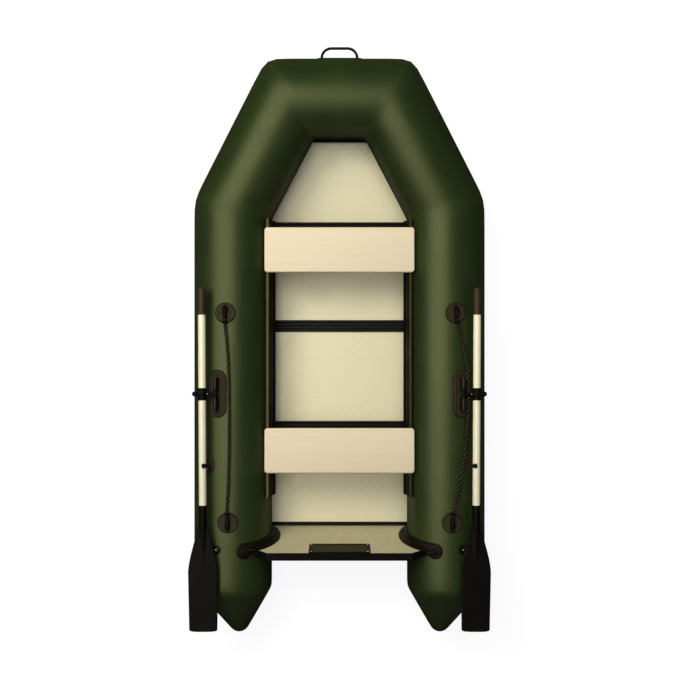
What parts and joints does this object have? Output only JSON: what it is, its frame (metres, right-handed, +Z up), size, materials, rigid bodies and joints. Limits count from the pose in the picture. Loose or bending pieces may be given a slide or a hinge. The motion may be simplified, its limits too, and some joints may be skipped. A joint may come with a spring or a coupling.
{
  "type": "inflatable rowing boat",
  "caption": "Inflatable boat with round air tubes, slatted aluminium floor, sliding bench seats, leaning wooden transom for a small motor and oars stowed along the sides.",
  "frame": {"origin": "middle of the bounding box at the ground under the side tubes", "axes": "+X to the right side, +Y to the bow, +Z up"},
  "size_m": [1.4304, 2.8498, 0.465],
  "materials": {
    "coated_fabric": "semi-gloss coated",
    "floor_aluminium": "embossed satin",
    "black_plastic": "satin",
    "transom_plywood": "painted",
    "fitting_rubber": "matte",
    "seat_board": "painted",
    "oar_shaft": "satin coated",
    "rope": "twisted",
    "valve_plastic": "gloss"
  },
  "bodies": {
    "hull": {"bow_tube": "coated_fabric", "bow_quarter_left": "coated_fabric", "bow_quarter_right": "coated_fabric", "side_tube_left": "coated_fabric", "side_tube_right": "coated_fabric", "stern_cone_left": "coated_fabric", "stern_cone_right": "coated_fabric", "bottom_sheet": "coated_fabric", "floor_panel_bow": "floor_aluminium", "floor_panel_front": "floor_aluminium", "floor_panel_middle": "floor_aluminium", "floor_panel_rear": "floor_aluminium", "floor_joiner_front": "black_plastic", "floor_joiner_middle": "black_plastic", "floor_joiner_rear": "black_plastic", "floor_end_strip": "black_plastic", "transom_top_trim": "black_plastic", "transom_board": "transom_plywood", "transom_holder_left": "fitting_rubber", "transom_holder_right": "fitting_rubber", "motor_pad_inner": "fitting_rubber", "motor_pad_outer": "fitting_rubber", "seat_rail_left": "fitting_rubber", "seat_rail_right": "fitting_rubber", "rope_pad_front_left": "fitting_rubber", "rope_pad_front_right": "fitting_rubber", "rope_pad_rear_left": "fitting_rubber", "rope_pad_rear_right": "fitting_rubber", "oarlock_base_left": "fitting_rubber", "oarlock_base_right": "fitting_rubber", "oar_clip_left": "fitting_rubber", "oar_clip_right": "fitting_rubber", "bow_handle": "fitting_rubber", "side_rope_left": "rope", "side_rope_right": "rope", "valve_left": "valve_plastic", "valve_right": "valve_plastic"},
    "seat_front": {"seat_front": "seat_board", "seat_sliders_front": "black_plastic"},
    "seat_rear": {"seat_rear": "seat_board", "seat_sliders_rear": "black_plastic"},
    "oar_left": {"oarlock_pin_left": "black_plastic", "oar_shaft_left": "oar_shaft", "oar_collar_left": "black_plastic", "oar_grip_left": "fitting_rubber", "oar_blade_left": "black_plastic"},
    "oar_right": {"oarlock_pin_right": "black_plastic", "oar_shaft_right": "oar_shaft", "oar_collar_right": "black_plastic", "oar_grip_right": "fitting_rubber", "oar_blade_right": "black_plastic"}
  },
  "joints": [
    {"name": "oar_left_lift", "type": "hinge", "parent": "hull", "child": "oar_left", "pos_m": [-0.58663, -0.25, 0.39181], "axis": [0, 1, 0], "range_deg": [0, 110]},
    {"name": "oar_right_lift", "type": "hinge", "parent": "hull", "child": "oar_right", "pos_m": [0.58663, -0.25, 0.39181], "axis": [0, -1, 0], "range_deg": [0, 110]},
    {"name": "seat_front_slide", "type": "slide", "parent": "hull", "child": "seat_front", "axis": [0, 1, 0], "range_m": [-0.3, 0.04]},
    {"name": "seat_rear_slide", "type": "slide", "parent": "hull", "child": "seat_rear", "axis": [0, 1, 0], "range_m": [-0.11, 0.3]}
  ]
}
